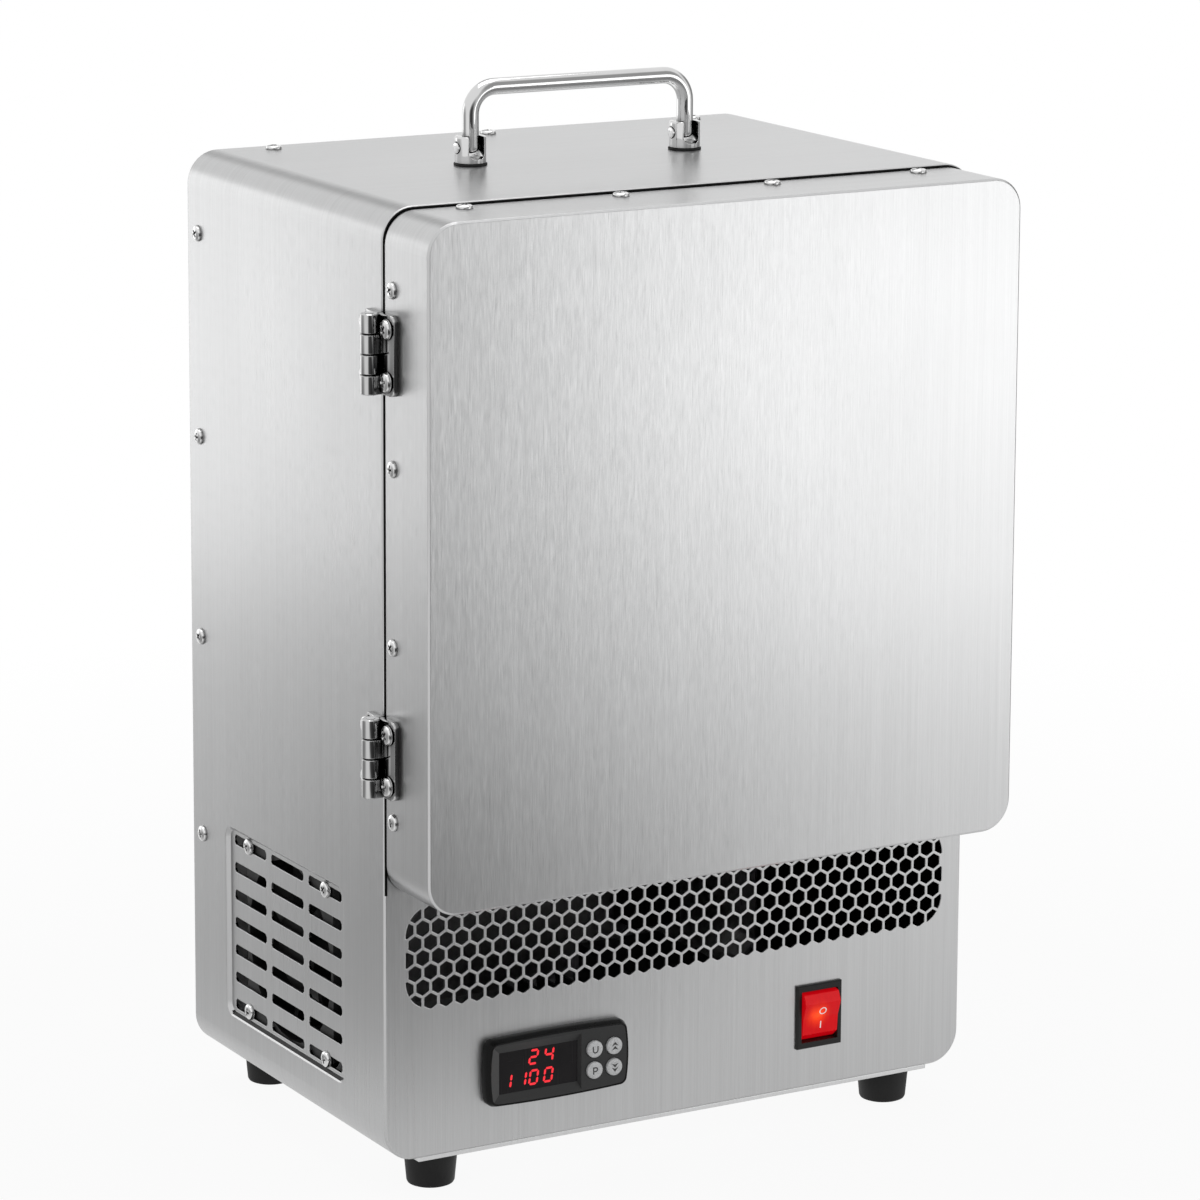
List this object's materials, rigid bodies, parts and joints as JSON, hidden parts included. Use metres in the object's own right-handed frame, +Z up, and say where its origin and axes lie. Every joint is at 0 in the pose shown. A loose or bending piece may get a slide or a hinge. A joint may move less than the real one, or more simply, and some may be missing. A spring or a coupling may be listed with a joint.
{
  "type": "jewellery kiln",
  "caption": "Front-loading tabletop kiln with a hinged insulated door, honeycomb vent, temperature controller, lit switch, side fan vent and folding carry handle.",
  "frame": {"origin": "on the supporting surface, under the middle of the whole object's bounding box", "axes": "+X to the right along the front, +Y to the back, so that the door faces -Y, and +Z up"},
  "size_m": [0.3404, 0.248, 0.5035],
  "materials": {
    "casing_steel": "satin",
    "door_steel": "satin",
    "plated_steel": "satin",
    "mirror_steel": "polished",
    "black_rubber": "matte",
    "firebrick": "matte",
    "fibre_insulation": "matte",
    "heating_wire": "matte",
    "controller_plastic": "satin",
    "display_window": "gloss",
    "key_plastic": "satin",
    "black_plastic": "satin",
    "red_translucent_plastic": "gloss",
    "aluminium": "satin"
  },
  "bodies": {
    "casing": {"back_panel": "plated_steel", "base_plate": "casing_steel", "casing_shell": "casing_steel", "chamber_collar": "firebrick", "controller_bezel": "controller_plastic", "controller_case": "controller_plastic", "controller_clamp": "controller_plastic", "controller_window": "display_window", "element_links": "heating_wire", "fan_frame": "black_plastic", "handle_pins": "mirror_steel", "handle_washers": "black_rubber", "heating_element_left": "heating_wire", "heating_element_right": "heating_wire", "insulation_jacket": "fibre_insulation", "kiln_shelf": "firebrick", "latch_bolt": "mirror_steel", "left_handle_post": "mirror_steel", "lower_hinge_casing_leaf": "mirror_steel", "lower_hinge_pin": "mirror_steel", "muffle_back": "firebrick", "muffle_floor": "firebrick", "muffle_left": "firebrick", "muffle_right": "firebrick", "muffle_roof": "firebrick", "partition_plate": "plated_steel", "power_inlet": "black_plastic", "relay": "black_plastic", "relay_heat_sink": "aluminium", "right_handle_post": "mirror_steel", "rubber_feet": "black_rubber", "switch_body": "black_plastic", "terminal_strip": "black_plastic", "thermocouple": "plated_steel", "upper_hinge_casing_leaf": "mirror_steel", "upper_hinge_pin": "mirror_steel"},
    "door": {"door_shell": "door_steel", "door_inner_plate": "plated_steel", "door_insulation": "fibre_insulation", "door_plug": "firebrick", "door_gasket": "fibre_insulation", "upper_hinge_door_leaf": "mirror_steel", "lower_hinge_door_leaf": "mirror_steel", "latch_stud": "mirror_steel", "door_pull": "plated_steel"},
    "handle": {"carry_handle": "mirror_steel"},
    "rocker": {"rocker_button": "red_translucent_plastic"},
    "function_key": {"key_function": "key_plastic"},
    "up_key": {"key_up": "key_plastic"},
    "program_key": {"key_program": "key_plastic"},
    "down_key": {"key_down": "key_plastic"},
    "rotor": {"fan_rotor": "black_plastic"},
    "latch": {"latch_arm": "plated_steel"}
  },
  "joints": [
    {"name": "door_hinge", "type": "hinge", "parent": "casing", "child": "door", "pos_m": [-0.16598, -0.0822, 0.3039], "axis": [0, 0, -1], "range_deg": [0, 180]},
    {"name": "latch_pivot", "type": "hinge", "parent": "casing", "child": "latch", "pos_m": [0.15582, -0.0595, 0.3039], "axis": [-1, 0, 0], "range_deg": [0, 90]},
    {"name": "handle_fold", "type": "hinge", "parent": "casing", "child": "handle", "pos_m": [-0.00168, 0.0205, 0.4714], "axis": [1, 0, 0], "range_deg": [-97, 97]},
    {"name": "rocker_tilt", "type": "hinge", "parent": "casing", "child": "rocker", "pos_m": [0.07483, -0.0805, 0.0541], "axis": [-1, 0, 0], "range_deg": [0, 24]},
    {"name": "fan_spin", "type": "hinge", "parent": "casing", "child": "rotor", "pos_m": [-0.14358, 0.023, 0.0919], "axis": [1, 0, 0], "continuous": true},
    {"name": "function_key_press", "type": "slide", "parent": "casing", "child": "function_key", "axis": [0, 1, 0], "range_m": [0, 0.0006], "stiffness_N_per_m": 600},
    {"name": "up_key_press", "type": "slide", "parent": "casing", "child": "up_key", "axis": [0, 1, 0], "range_m": [0, 0.0006], "stiffness_N_per_m": 600},
    {"name": "program_key_press", "type": "slide", "parent": "casing", "child": "program_key", "axis": [0, 1, 0], "range_m": [0, 0.0006], "stiffness_N_per_m": 600},
    {"name": "down_key_press", "type": "slide", "parent": "casing", "child": "down_key", "axis": [0, 1, 0], "range_m": [0, 0.0006], "stiffness_N_per_m": 600}
  ]
}
